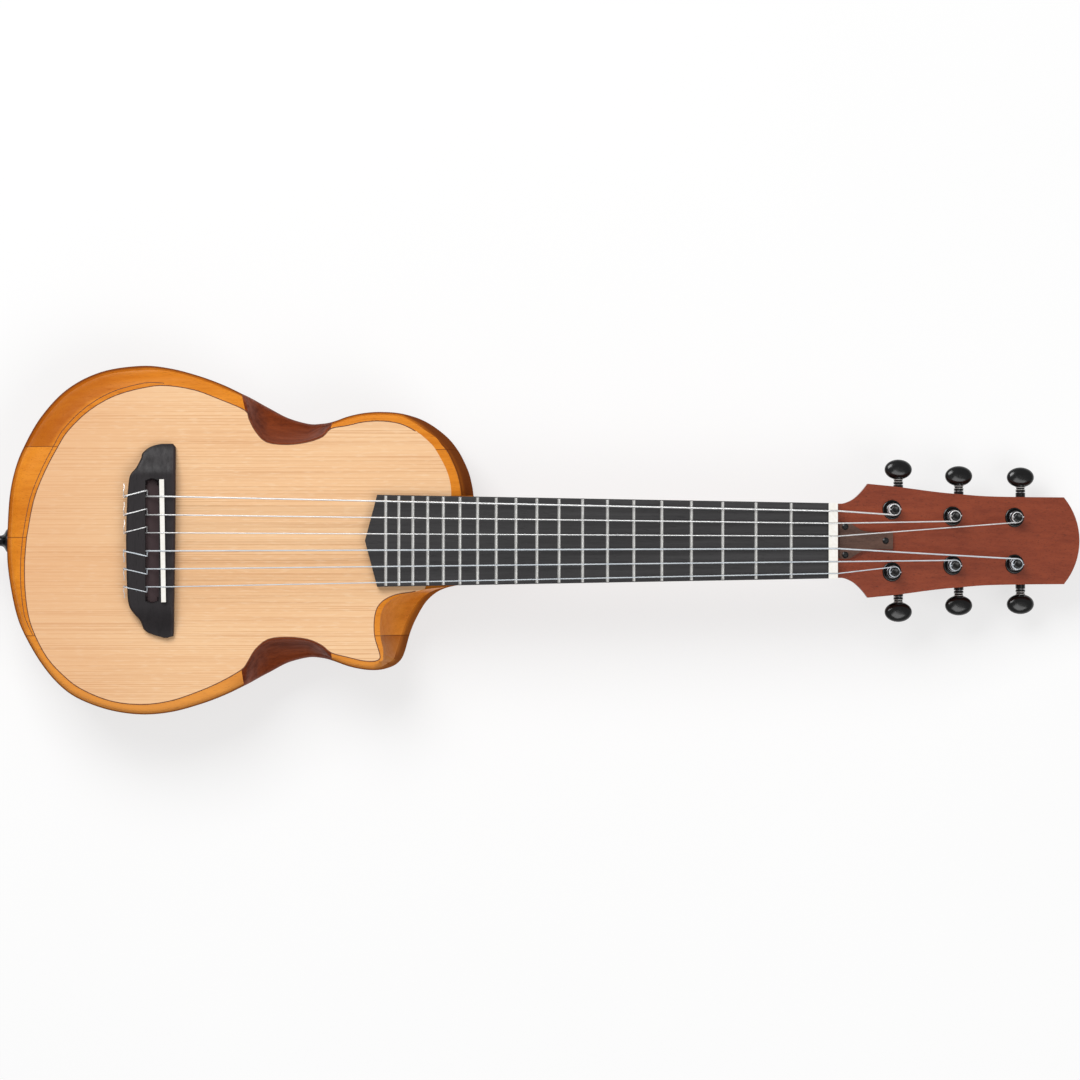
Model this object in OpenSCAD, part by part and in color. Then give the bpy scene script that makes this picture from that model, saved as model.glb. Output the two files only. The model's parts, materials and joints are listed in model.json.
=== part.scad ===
// Small six-string nylon guitar, lying on its back. Millimetres, +Z out of the soundboard.
// The origin is on the back, under the saddle line, on the centreline. +X runs to the head.

/* [Strings] */
// Sounding length, from the saddle line to the front of the nut
scale_length = 433; // [428:0.5:438]
// How much farther the saddle stands from the nut than the scale length
saddle_setback = 1.2; // [0:0.1:3]
// Number of frets
fret_count = 19; // [12:1:19]
// Height of the string bottoms at the saddle, over the soundboard
saddle_height = 12.5; // [11.5:0.1:13]
// Turns of each string on its post
winding_turns = 2.5; // [1.5:0.5:2.5]

/* [Body] */
// Depth of the body, from the back to the soundboard
body_depth = 70; // [66:0.5:74]
// Thickness of the soundboard
top_thickness = 3; // [2.5:0.1:3.5]
// Thickness of the back
back_thickness = 2.5; // [2:0.1:4]
// Width of the dark line round the edge of the top
purfling_width = 0.6; // [0.4:0.05:1.5]

/* [Neck] */
// Width of the fretboard at the nut
nut_width = 49.2; // [48:0.1:50]
// Width of the fretboard at its body end
board_width = 60; // [57:0.5:62]
// Thickness of the fretboard
board_thickness = 6; // [5:0.1:6.5]
// Depth of the neck without the fretboard, behind the nut
neck_depth_nut = 15.5; // [15:0.1:17]
// Depth of the neck without the fretboard, in front of the heel
neck_depth_heel = 18; // [16:0.1:20]

/* [Head] */
// Tilt of the headstock in degrees
head_tilt = 12; // [10:0.5:14]
// Thickness of the headstock
head_thickness = 13.5; // [13:0.1:15]

/* [Tuners] */
// Radius of the string posts
post_radius = 2.6; // [2.4:0.05:3.1]
// Height of the posts over the face of the headstock
post_height = 10.5; // [10:0.5:14]
// Teeth on each gear
gear_teeth = 15; // [15:1:15]
// Length of the knobs along the headstock
knob_length = 18.4; // [14:0.1:20]
// Thickness of the knobs
knob_thickness = 7; // [6:0.1:8]
// Running clearance of shafts in their bores
running = 0.06; // [0.03:0.01:0.09]

/* [Hidden] */
$fn = 48;
STRINGS = [1, 2, 3, 4, 5, 6];

amber = "#c98a3c";
red_wood = "#82402b";
spruce = "#eec496";
dark_wood = "#3a3236";
black_metal = "#1c1c1e";
bone = "#f2efe6";

// ---- Curves ----

// A point on the Catmull-Rom curve from b to c
function curve_point(a, b, c, d, u) =
    0.5 * (2 * b + (c - a) * u + (2 * a - 5 * b + 4 * c - d) * u * u
        + (3 * b - a - 3 * c + d) * u * u * u);

// A smooth open curve through the points, with n steps between neighbours
function curve(p, n) = [
    for (i = [0 : len(p) - 2], j = [0 : n - 1])
        curve_point(p[max(i - 1, 0)], p[i], p[i + 1], p[min(i + 2, len(p) - 1)], j / n),
    p[len(p) - 1]
];

function unit(v) = v / norm(v);
function reversed(list) = [for (i = [len(list) - 1 : -1 : 0]) list[i]];
function lerp(a, b, u) = a + (b - a) * u;
function total(list, i = 0) = i < len(list) ? list[i] + total(list, i + 1) : 0;

// A closed solid through rings of equal size, each ring a list of 3-D points
module loft(rings) {
    n = len(rings[0]);
    last = (len(rings) - 1) * n;
    sides = [
        for (r = [0 : len(rings) - 2], k = [0 : n - 1])
            let (a = r * n + k, b = r * n + (k + 1) % n)
                each [[a, b, b + n], [a, b + n, a + n]]
    ];
    caps = [[for (k = [n - 1 : -1 : 0]) k], [for (k = [0 : n - 1]) last + k]];
    polyhedron([for (r = rings) each r], concat(sides, caps), convexity = 6);
}

// A round tube along a path: each ring stands square to the path at its point
function tube_rings(path, radius, sides) = [
    for (i = [0 : len(path) - 1])
        let (
            along = unit(path[min(i + 1, len(path) - 1)] - path[max(i - 1, 0)]),
            across = unit(cross([0, 0, 1], along)),
            up = cross(along, across)
        )
            [for (k = [0 : sides - 1])
                path[i] + radius * (across * cos(360 * k / sides) + up * sin(360 * k / sides))]
];

// ---- Body ribs ----

// The rim is lofted through upright ribs. A rib is [outer point, edge of the flat top, shape],
// and its shape is [wall, ledge, side, crease height, side height, roundness]: the wall inside
// the edge, the flat ledge outside it, the steep side band, the heights at which the band
// starts and ends, and 1 for a bevel that bulges to -1 for one that is scooped.
tail = [10, 2, 2.5, 66, 62, 0.8];
arm_bevel = [10, 1.5, 3, 61, 55, 0.6];
small_round = [9, 1, 2, 68, 64, 1];
waist_end = [9, 1, 2, 66, 61, 0.6];
scoop = [6, 0.8, 2.5, 46, 41, -0.5];
shoulder = [9, 5.5, 7.5, 68.6, 32, 1];
horn_tip = [1.5, 2, 4, 58, 44, -0.2];
cut_scoop = [5, 3.5, 5, 38, 22, -0.8];

// The two halves of the tail meet just beside the centreline, clear of the strap button's screw
tail_join = 2.2;

bass_ribs = [
    [[-102, tail_join], [-89, tail_join], tail],
    [[-100.5, 28], [-84.5, 26], tail],
    [[-97, 46], [-77.5, 44.5], tail],
    [[-91.5, 61.5], [-68.6, 61.5], arm_bevel],
    [[-80, 81.5], [-61.6, 72.3], arm_bevel],
    [[-63, 99.3], [-48, 85.3], arm_bevel],
    [[-41, 110.5], [-31, 95], arm_bevel],
    [[-15, 114.5], [-11, 100.4], arm_bevel],
    [[5, 112.6], [3, 101.5], waist_end],
    [[24.5, 107.4], [21, 98.6], small_round],
    [[40, 101.6], [37, 92.7], small_round],
    [[51.3, 96.2], [53.8, 85.4], waist_end],
    [[56, 94], [56.6, 79.6], lerp(waist_end, scoop, 0.4)],
    [[61, 91.2], [60.6, 71.9], lerp(waist_end, scoop, 0.8)],
    [[68.6, 87], [67.8, 64.7], scoop],
    [[81, 80.6], [81, 63], scoop],
    [[94.3, 76.8], [94.3, 64.6], scoop],
    [[103, 76.7], [104.2, 68.1], lerp(waist_end, scoop, 0.6)],
    [[110.9, 77.8], [109.7, 73.4], small_round],
    [[121, 81.3], [120.4, 75.4], small_round],
    [[132, 83.6], [131, 77.8], small_round],
    [[144, 84.2], [143.4, 78.4], small_round],
    [[157, 82.9], [155.4, 76.5], small_round],
    [[171, 78.3], [165.4, 71.5], lerp(small_round, shoulder, 0.5)],
    [[184, 69.3], [173.8, 64.6], shoulder],
    [[192.3, 59.5], [178.1, 59.5], shoulder],
    [[198.6, 47], [184.9, 47], shoulder],
    [[201.4, 37], [187.8, 37], shoulder],
    [[202.5, 29.5], [188.3, 29.5], shoulder]
];

treble_ribs = [
    [[-102, tail_join], [-89, tail_join], tail],
    [[-101.8, -14], [-90.3, -14], tail],
    [[-99.4, -32], [-90, -32], tail],
    [[-95.6, -49], [-87.8, -49], tail],
    [[-90.2, -62], [-83.4, -62], small_round],
    [[-80.5, -78.8], [-75.5, -76.6], small_round],
    [[-69, -93], [-65.5, -87.6], small_round],
    [[-56, -102.8], [-53.8, -96.7], small_round],
    [[-36, -110.4], [-34.8, -104.6], small_round],
    [[-15, -113.5], [-14.7, -107.1], small_round],
    [[5, -112], [4.5, -104.9], small_round],
    [[24.5, -106.8], [22.5, -99], small_round],
    [[40, -101], [37.5, -92.5], small_round],
    [[53, -94.8], [51.5, -84.5], waist_end],
    [[57, -92.7], [55.6, -79.4], lerp(waist_end, scoop, 0.4)],
    [[62, -89.9], [60.6, -71.2], lerp(waist_end, scoop, 0.8)],
    [[69, -86.2], [68.8, -64.6], scoop],
    [[81, -80], [81, -63.2], scoop],
    [[94.3, -76.6], [94.3, -64.5], scoop],
    [[103, -76.8], [103.6, -68.4], lerp(waist_end, scoop, 0.6)],
    [[110.5, -78.3], [110, -73.4], small_round],
    [[121, -82], [120.4, -76.2], small_round],
    [[130, -84], [129.5, -78.4], small_round],
    [[137.5, -84.6], [136, -79], small_round],
    [[144, -84], [140, -78.4], [3, 1, 2, 67, 60, 0.6]],
    [[150.4, -81.9], [142, -76.8], horn_tip],
    [[154.4, -78.6], [142, -74], horn_tip],
    [[157.1, -73], [141, -70.5], [3, 3, 5, 48, 32, -0.6]],
    [[160.2, -62], [138.6, -62], cut_scoop],
    [[163.4, -53.7], [138.4, -51.7], cut_scoop],
    [[168.2, -44.6], [140.4, -43.6], cut_scoop],
    [[172.6, -38.6], [145.4, -38.4], cut_scoop],
    [[178.4, -33.8], [153, -35.2], cut_scoop],
    [[184.5, -31], [163, -33.6], [4, 2.5, 5, 46, 30, -0.6]],
    [[190, -29.6], [171, -31.6], [3, 2, 5, 52, 40, -0.3]]
];

// Steps lofted between neighbouring ribs
rib_steps = 3;
// Places along the ribs where one piece of the rim ends and the next starts
bass_joins = [0, 3, 11, 18, 25, 28];
treble_joins = [0, 4, 13, 20, 28, 34];

// The ribs of one side with the steps between them filled in
function fine_ribs(ribs) =
    let (
        outer = curve([for (r = ribs) r[0]], rib_steps),
        edge = curve([for (r = ribs) r[1]], rib_steps)
    )
        [for (i = [0 : len(outer) - 1])
            let (
                a = floor(i / rib_steps),
                b = min(a + 1, len(ribs) - 1)
            )
                [outer[i], edge[i], lerp(ribs[a][2], ribs[b][2], i / rib_steps - a)]];

bass_fine = fine_ribs(bass_ribs);
treble_fine = fine_ribs(treble_ribs);

// Height of the rim's foot round, and how far it draws in there
foot_height = 7;
foot_inset = 3;
// Rings are closed by these shares of the bevel from the ledge to the crease
bevel_steps = [0.2, 0.4, 0.6, 0.8, 1];

// The closed outline of one rib, as 3-D points
function rib_ring(rib) =
    let (
        outer = rib[0],
        edge = rib[1],
        s = rib[2],
        out = unit(outer - edge),
        inner = edge - s[0] * out,
        ledge = edge + s[1] * out,
        crease = outer - s[2] * out,
        lift = body_depth - 70,
        z_ledge = body_depth - 0.3,
        z_crease = s[3] + lift,
        z_side = s[4] + lift,
        round_share = (1 + s[5]) / 2,
        foot = outer - foot_inset * out
    )
        concat(
            [
                [inner.x, inner.y, back_thickness],
                [inner.x, inner.y, body_depth - top_thickness],
                [edge.x, edge.y, body_depth - top_thickness],
                [edge.x, edge.y, body_depth],
                [ledge.x, ledge.y, z_ledge]
            ],
            [for (u = bevel_steps)
                let (
                    across = lerp(1 - cos(90 * u), sin(90 * u), round_share),
                    down = lerp(sin(90 * u), 1 - cos(90 * u), round_share),
                    p = lerp(ledge, crease, across)
                )
                    [p.x, p.y, lerp(z_ledge, z_crease, down)]],
            [for (step = [[0.35, 0.18], [0.7, 0.5], [1, 1]])
                let (p = lerp(crease, outer, step[0]))
                    [p.x, p.y, lerp(z_crease, z_side, step[1])]],
            [
                [outer.x, outer.y, foot_height],
                [foot.x, foot.y, back_thickness]
            ]
        );

// One piece of the rim, from one join to the next. Treble ribs run the other way round.
module rim_piece(fine, joins, piece, flip) {
    first = joins[piece] * rib_steps;
    last = joins[piece + 1] * rib_steps;
    rings = [for (i = [first : last]) rib_ring(fine[i])];
    loft(flip ? reversed(rings) : rings);
}

// Outlines of the flat top and of the whole body
top_outline = concat([for (r = bass_fine) r[1]], reversed([for (r = treble_fine) r[1]]));
body_outline = concat([for (r = bass_fine) r[0]], reversed([for (r = treble_fine) r[0]]));

module rim_tail_bass() { color(amber) rim_piece(bass_fine, bass_joins, 0, false); }
module rim_lower_bass() { color(amber) rim_piece(bass_fine, bass_joins, 1, false); }
module waist_block_bass() { color(red_wood) rim_piece(bass_fine, bass_joins, 2, false); }
module rim_upper_bass() { color(amber) rim_piece(bass_fine, bass_joins, 3, false); }
module rim_neck_bass() { color(amber) rim_piece(bass_fine, bass_joins, 4, false); }
module rim_tail_treble() {
    color(amber)
        difference() {
            rim_piece(treble_fine, treble_joins, 0, true);
            strap_screw_hole();
        }
}
module rim_lower_treble() { color(amber) rim_piece(treble_fine, treble_joins, 1, true); }
module waist_block_treble() { color(red_wood) rim_piece(treble_fine, treble_joins, 2, true); }
module rim_horn() { color(amber) rim_piece(treble_fine, treble_joins, 3, true); }
module rim_cutaway() { color(amber) rim_piece(treble_fine, treble_joins, 4, true); }

// ---- Plates of the body ----

board_z = body_depth - top_thickness;

module back_plate() {
    color(red_wood)
        linear_extrude(back_thickness)
            offset(delta = -foot_inset)
                polygon(body_outline);
}

// The purfling is a dark line along the edge of the top, up to the sides of the fretboard
purfling_end = 165;

module purfling_shape() {
    intersection() {
        difference() {
            polygon(top_outline);
            offset(delta = -purfling_width) polygon(top_outline);
        }
        translate([-150, -150]) square([150 + purfling_end, 300]);
    }
}

module soundboard() {
    color(spruce)
        translate([0, 0, board_z])
            linear_extrude(top_thickness)
                difference() {
                    polygon(top_outline);
                    purfling_shape();
                }
}

module purfling() {
    color(dark_wood)
        translate([0, 0, board_z])
            linear_extrude(top_thickness)
                purfling_shape();
}

// Braces lie inside the rim: each is [centre x, centre y, length, angle]
brace_width = 6;
fan_braces = [[-18, 0, 88, 0], [-20, 34, 78, 8], [-20, -34, 78, -8]];
cross_braces = [[58, 0, 118, 90], [128, 0, 116, 90]];

module brace(place, height) {
    translate([place.x, place.y])
        rotate(place[3])
            translate([-place[2] / 2, -brace_width / 2])
                cube([place[2], brace_width, height]);
}

module soundboard_braces() {
    brace_height = 7;
    color(spruce)
        translate([0, 0, board_z - brace_height])
            for (b = concat(fan_braces, cross_braces))
                brace(b, brace_height);
}

module back_braces() {
    color(spruce)
        translate([0, 0, back_thickness])
            for (b = [[-40, 0, 150, 90], [20, 0, 150, 90], [80, 0, 104, 90], [130, 0, 116, 90]])
                brace(b, 9);
}

module bridge_plate() {
    color(spruce)
        translate([-24, -62, board_z - 10])
            cube([34, 124, 2.5]);
}

// The end of the soundboard under the fretboard
board_end = 171;

module neck_block() {
    color(red_wood)
        difference() {
            translate([0, 0, back_thickness])
                linear_extrude(body_depth - back_thickness)
                    polygon([[168.2, -31.75], [190, -29.45], [195, -28.6], [202.5, 29.4], [168.2, 29.4]]);
            translate([board_end - 20, -60, board_z])
                linear_extrude(top_thickness + 1)
                    polygon([[-20, 0], [20.2, 0], [20.2, 28.4], [37.5, 89.4], [37.5, 120], [-20, 120]]);
        }
}

module tail_block() {
    color(red_wood)
        difference() {
            translate([0, 0, back_thickness])
                linear_extrude(board_z - back_thickness)
                    polygon([[-78.6, -24], [-78.6, 2], [-77, 11], [-74.4, 22], [-64.5, 22], [-64.5, -24]]);
            strap_screw_hole();
        }
}

// ---- Strap button ----

strap_height = 35;
strap_seat = -102.2;
strap_screw_radius = 1.4;

module along_minus_x(x) {
    translate([x, 0, strap_height])
        rotate([0, -90, 0])
            children();
}

module strap_screw_hole() {
    along_minus_x(-60)
        cylinder(h = 60, r = strap_screw_radius + 0.1);
}

module strap_button() {
    color(black_metal)
        along_minus_x(strap_seat)
            rotate_extrude()
                polygon([[1.5, 0], [7.7, 0], [7.7, 1.6], [6.8, 2.6], [3.6, 4], [3.4, 8], [4.4, 10],
                    [6.6, 11.2], [7, 12.4], [6.4, 13.6], [4.2, 14], [1.5, 14]]);
}

module strap_button_screw() {
    color("#8c8c90")
        along_minus_x(strap_seat)
            union() {
                translate([0, 0, -32]) cylinder(h = 46, r = strap_screw_radius);
                translate([0, 0, 14]) cylinder(h = 1.4, r = 3.6);
            }
}

// ---- Bridge ----

bridge_height = 9.5;
bridge_floor = 4;
tie_block_back = -22.8;
tie_block_front = -10.8;
tie_block_half = 45;
saddle_width = 3;
saddle_length = 80;
// The saddle stands askew, with its bass end further back
saddle_skew = 0.9;
// Radius of the holes that tie the strings
tie_hole_radius = 0.9;
tie_hole_height = 5.5;

// Strings 1 to 6, from the treble side to the bass side
string_radius = [0.36, 0.42, 0.5, 0.38, 0.45, 0.55];
saddle_y = [-30, -18.3, -6.6, 5.2, 16.9, 28.9];
nut_y = [-21.3, -13.6, -5.1, 3, 11.4, 19.4];

bridge_outline = curve([
    [8.4, 0], [8.7, 40], [8.7, 59.8], [6.7, 63.4], [-0.8, 63.6], [-7.8, 61.3], [-12.8, 57.3],
    [-13.8, 53.8], [-16.8, 47.8], [-20.6, 43], [-21.8, 37], [-22.8, 24], [-23.4, 0],
    [-22.8, -29], [-21.5, -42], [-17.8, -48], [-14.3, -52], [-11.8, -58], [-6.8, -61],
    [2.2, -64], [7.2, -61], [7.8, -40]
], 3);

module saddle_blank(grow, height) {
    rotate(saddle_skew)
        translate([-saddle_width / 2 - grow + 0.6, -saddle_length / 2 - grow, 0])
            cube([saddle_width + 2 * grow, saddle_length + 2 * grow, height]);
}

module bridge() {
    color(dark_wood)
        translate([0, 0, body_depth])
            difference() {
                union() {
                    linear_extrude(bridge_floor) polygon(bridge_outline);
                    linear_extrude(bridge_height)
                        intersection() {
                            polygon(bridge_outline);
                            union() {
                                translate([tie_block_back - 2, -tie_block_half])
                                    square([tie_block_front - tie_block_back + 2, 2 * tie_block_half]);
                                translate([-2, -saddle_length / 2 - 5])
                                    square([12, saddle_length + 10]);
                            }
                        }
                }
                translate([0, 0, bridge_floor]) saddle_blank(0.02, bridge_height);
                for (y = saddle_y)
                    translate([tie_block_back - 2, y, tie_hole_height])
                        rotate([0, 90, 0])
                            cylinder(h = tie_block_front - tie_block_back + 4, r = tie_hole_radius, $fn = 24);
            }
}

module saddle() {
    color(bone)
        translate([0, 0, body_depth + bridge_floor])
            saddle_blank(0, saddle_height - bridge_floor);
}

// ---- Neck ----

nut_x = scale_length + saddle_setback;
nut_length = 6;
head_start = nut_x + nut_length;
heel_x = 202.5;

// Half width of the neck at a place along it
function neck_half(x) = lerp(board_width, nut_width, (x - 140) / (nut_x - 140)) / 2;

// Depth of the neck at a place along it: even to the heel, then down in a curve
heel_end = 248;
heel_bottom = 62;
function neck_depth(x) =
    let (even = lerp(neck_depth_heel, neck_depth_nut, (x - heel_end) / (head_start - heel_end)))
        x >= heel_end ? even
            : lerp(neck_depth_heel, heel_bottom, pow((heel_end - x) / (heel_end - heel_x), 2.6));

neck_stations = concat(
    [for (x = [heel_x + 0.3 : 6.5 : heel_end]) x],
    [for (k = [0 : 6]) lerp(heel_end + 6, head_start, k / 6)]
);
neck_points = 14;

function neck_ring(x) =
    let (half = neck_half(min(x, nut_x)) - 0.2, depth = neck_depth(x))
        concat(
            [[x, half, body_depth]],
            [for (k = [0 : neck_points])
                let (a = 180 * k / neck_points)
                    [x, half * sign(cos(a)) * pow(abs(cos(a)), 0.8),
                        body_depth - 3 - (depth - 3) * pow(sin(a), 0.9)]],
            [[x, -half, body_depth]]
        );

rod_start = 210;
rod_end = 430;

module neck() {
    color(amber)
        difference() {
            loft([for (x = neck_stations) neck_ring(x)]);
            translate([rod_start, -3.1, body_depth - 8.2])
                cube([rod_end - rod_start, 6.2, 9]);
        }
}

module truss_rod() {
    color("#8c8c90")
        translate([rod_start + 0.2, -3, body_depth - 8])
            union() {
                cube([rod_end - rod_start - 0.4, 6, 3]);
                translate([0, 0, 3]) cube([8, 6, 1.8]);
                translate([rod_end - rod_start - 8.4, 0, 3]) cube([8, 6, 1.8]);
                translate([0, 0, 4.8]) cube([rod_end - rod_start - 0.4, 6, 3]);
            }
}

board_top = body_depth + board_thickness;

module fretboard() {
    color("#444040")
        translate([0, 0, body_depth])
            linear_extrude(board_thickness)
                polygon([[132.1, 0], [140.1, 30 * board_width / 60], [nut_x, nut_width / 2],
                    [nut_x, -nut_width / 2], [140.1, -30 * board_width / 60]]);
}

fret_width = 2.2;
fret_height = 1;

module frets() {
    color("silver")
        for (n = [1 : fret_count])
            let (
                x = nut_x - scale_length * (1 - pow(2, -n / 12)),
                half = neck_half(x) - 0.5
            )
                translate([x, half, board_top])
                    rotate([90, 0, 0])
                        linear_extrude(2 * half)
                            polygon([for (a = [0 : 30 : 180])
                                [fret_width / 2 * cos(a), fret_height * sin(a)]]);
}

nut_top = board_top + 2.6;
slot_floor = board_top + 1.6;

module nut() {
    color(bone)
        difference() {
            translate([nut_x + 0.02, -nut_width / 2, body_depth])
                cube([nut_length - 0.04, nut_width, nut_top - body_depth]);
            for (i = STRINGS)
                translate([nut_x - 1, nut_y[i - 1] - string_radius[i - 1] - 0.08, slot_floor])
                    cube([nut_length + 2, 2 * string_radius[i - 1] + 0.16, 4]);
        }
}

// ---- Headstock ----

// Moves children to the face of the headstock: X along it, Z out of it
module on_head() {
    translate([head_start, 0, body_depth])
        rotate([0, head_tilt, 0])
            children();
}

// The same move for a point
function head_point(p) = [
    head_start + p.x * cos(head_tilt) + p.z * sin(head_tilt),
    p.y,
    body_depth - p.x * sin(head_tilt) + p.z * cos(head_tilt)
];

head_flare = [
    [-8, 24.2], [1, 24.2], [5, 24.6], [10, 26.7], [14, 29.8], [17.4, 33.4], [20.4, 37.2]
];
head_side = [
    [20.4, 37.2], [28, 36.5], [41, 35.2], [67, 31.9], [85, 30.3], [100, 29.2], [122, 28.7],
    [153.4, 28.5]
];
head_length = 163.9;
tip_radius = 43.5;
head_half = concat(
    [for (p = curve(head_flare, 3)) if (p.y < head_side[0].y) p],
    curve(head_side, 3),
    [for (a = [40 : -5 : 0]) [head_length - tip_radius * (1 - cos(a)), tip_radius * sin(a)]]
);

module head_outline() {
    polygon(concat(head_half, reversed([for (p = head_half) if (p.y > 0.01) [p.x, -p.y]])));
}

// Posts 1 to 6 on the headstock: treble side 1, 2, 3, bass side 6, 5, 4 from the nut on
post_place = [
    [36.6, -20.3], [77.6, -16.1], [119.6, -15.3],
    [119.6, 15.3], [77.6, 16.1], [36.6, 20.3]
];
bushing_radius = 4.6;
cover_screw_place = [[4.6, 9.2], [4.6, -9.2], [31.8, 0]];
cover_thickness = 2.4;
screw_radius = 1.2;

// Its walls stand upright, though its face is tilted
module headstock() {
    color(red_wood)
        difference() {
            intersection() {
                on_head()
                    translate([-10, -60, -head_thickness])
                        cube([head_length + 20, 120, head_thickness]);
                translate([head_start, 0, 0])
                    linear_extrude(body_depth + 5)
                        scale([cos(head_tilt), 1]) head_outline();
            }
            on_head() {
                for (p = post_place)
                    translate([p.x, p.y, -head_thickness - 1])
                        cylinder(h = head_thickness + 2, r = bushing_radius);
                for (p = cover_screw_place)
                    translate([p.x, p.y, -9])
                        cylinder(h = 10, r = screw_radius + 0.05);
            }
            for (i = STRINGS)
                at_tuner(i)
                    translate([lug_place.x, lug_place.y, -1])
                        cylinder(h = 9, r = screw_radius + 0.05);
            translate([head_start - 20, -60, body_depth - 40])
                cube([20, 120, 60]);
        }
}

cover_side = [
    [0.8, 11.6], [4, 11.8], [8, 11.4], [12, 9], [16, 6.8], [21, 5.9], [28, 5.7], [36.8, 5.7]
];

module truss_rod_cover() {
    color("#5a463e")
        on_head()
            difference() {
                linear_extrude(cover_thickness)
                    polygon(concat(
                        curve(cover_side, 3),
                        reversed([for (p = curve(cover_side, 3)) [p.x, -p.y]])
                    ));
                for (p = cover_screw_place)
                    translate([p.x, p.y, -1])
                        cylinder(h = cover_thickness + 2, r = screw_radius + 0.05);
            }
}

module screw(length, head_radius, head_height) {
    rotate_extrude()
        polygon([[0, -length], [screw_radius, -length], [screw_radius, 0], [head_radius, 0],
            [head_radius, head_height * 0.5], [head_radius * 0.6, head_height], [0, head_height]]);
}

module truss_cover_screws() {
    color(black_metal)
        on_head()
            for (p = cover_screw_place)
                translate([p.x, p.y, cover_thickness])
                    screw(9, 2.1, 0.9);
}

// ---- Tuners ----
// A tuner stands in its own frame: the origin is where the post's axis meets the back of the
// headstock, X runs to the tip, Y outward to the knob and Z out of the face.

module at_tuner(i) {
    p = post_place[i - 1];
    on_head()
        translate([p.x, p.y, -head_thickness])
            mirror([0, i <= 3 ? 1 : 0, 0])
                children();
}

housing_depth = 10.8;
lid_thickness = 1.2;
worm_x = 9.4;
worm_z = -5.7;
tooth_height = 0.7;
worm_pitch_radius = 3;
gear_pitch_radius = worm_x - worm_pitch_radius;
worm_pitch = 2 * 180 / gear_teeth * gear_pitch_radius * PI / 180;
worm_core = 2.1;
thread_root = 2.25;
thread_tip = worm_pitch_radius + tooth_height;
journal_radius = 1.8;
shaft_radius = 2.5;
snout_radius = 3.2;
wall_inner = -5.6;
wall_outer = 6.2;
snout_end = 16.3;
collar_start = 16.7;
knob_start = 18.9;
knob_end = 33.1;
lug_place = [-3, -10.6];
bore_facets = 48;

module housing_outline() {
    union() {
        circle(8.8);
        translate([0, -8.8]) square([14.8, 17.6]);
        translate(lug_place) circle(3);
        translate([lug_place.x - 3, lug_place.y]) square([6, 6]);
    }
}

module along_worm(y) {
    translate([worm_x, y, worm_z])
        rotate([-90, 0, 0])
            children();
}

module tuner_housing() {
    difference() {
        union() {
            translate([0, 0, -housing_depth])
                linear_extrude(housing_depth) housing_outline();
            along_worm(8) cylinder(h = snout_end - 8, r = snout_radius);
        }
        translate([0, 0, -housing_depth - 1]) cylinder(h = housing_depth - 2, r = 7.6);
        translate([worm_x - 4.3, wall_inner, -housing_depth - 1])
            cube([8.6, wall_outer - wall_inner, housing_depth - 0.6]);
        translate([0, 0, -5]) cylinder(h = 6, r = post_radius + running);
        along_worm(wall_inner - 2.4) cylinder(h = 3, r = journal_radius + running);
        along_worm(wall_outer - 1) cylinder(h = snout_end, r = shaft_radius + running);
        translate([lug_place.x, lug_place.y, -housing_depth - 1])
            cylinder(h = housing_depth + 2, r = screw_radius + 0.05);
    }
}

module tuner_housings() {
    color(black_metal) for (i = STRINGS) at_tuner(i) tuner_housing();
}

module tuner_lids() {
    color(black_metal)
        for (i = STRINGS)
            at_tuner(i)
                translate([0, 0, -housing_depth - lid_thickness])
                    linear_extrude(lid_thickness)
                        difference() {
                            housing_outline();
                            translate(lug_place) circle(screw_radius + 0.05);
                        }
}

module tuner_screws() {
    color("#8c8c90")
        for (i = STRINGS)
            at_tuner(i)
                translate([lug_place.x, lug_place.y, -housing_depth - lid_thickness])
                    mirror([0, 0, 1])
                        screw(17, 2.2, 1);
}

washer_radius = 6.4;
washer_thickness = 0.8;
bushing_nut_radius = 5;
bushing_top = 3.2;

module tuner_bushings() {
    color(black_metal)
        for (i = STRINGS)
            at_tuner(i)
                translate([0, 0, head_thickness])
                    rotate_extrude()
                        translate([post_radius + running, 0])
                            polygon([
                                [0, -head_thickness], [bushing_radius - post_radius - running, -head_thickness],
                                [bushing_radius - post_radius - running, 0],
                                [washer_radius - post_radius - running, 0],
                                [washer_radius - post_radius - running, washer_thickness],
                                [bushing_nut_radius - post_radius - running, washer_thickness],
                                [bushing_nut_radius - post_radius - running, bushing_top - 0.6],
                                [bushing_nut_radius - post_radius - running - 0.6, bushing_top],
                                [0, bushing_top]
                            ]);
}

gear_height = 2.2;
tooth_tip_share = 0.3;
tooth_root_share = 0.56;

// Teeth round the gear, with a gap turned to the worm
module gear_outline() {
    tip = gear_pitch_radius + tooth_height;
    root = gear_pitch_radius - tooth_height;
    step = 360 / gear_teeth;
    polygon([
        for (k = [0 : gear_teeth - 1])
            let (a = (k + 0.5) * step)
                each [
                    root * [cos(a - step * tooth_root_share / 2), sin(a - step * tooth_root_share / 2)],
                    tip * [cos(a - step * tooth_tip_share / 2), sin(a - step * tooth_tip_share / 2)],
                    tip * [cos(a + step * tooth_tip_share / 2), sin(a + step * tooth_tip_share / 2)],
                    root * [cos(a + step * tooth_root_share / 2), sin(a + step * tooth_root_share / 2)]
                ]
    ]);
}

string_hole_height = 8.6;

module post(i) {
    color(black_metal)
        at_tuner(i)
            difference() {
                union() {
                    translate([0, 0, 0.1 - housing_depth])
                        cylinder(h = housing_depth - 0.1 + head_thickness + post_height, r = post_radius);
                    translate([0, 0, worm_z - gear_height / 2])
                        linear_extrude(gear_height) gear_outline();
                }
                translate([-post_radius - 1, 0, head_thickness + string_hole_height])
                    rotate([0, 90, 0])
                        cylinder(h = 2 * post_radius + 2, r = 0.9, $fn = 24);
            }
}

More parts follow.
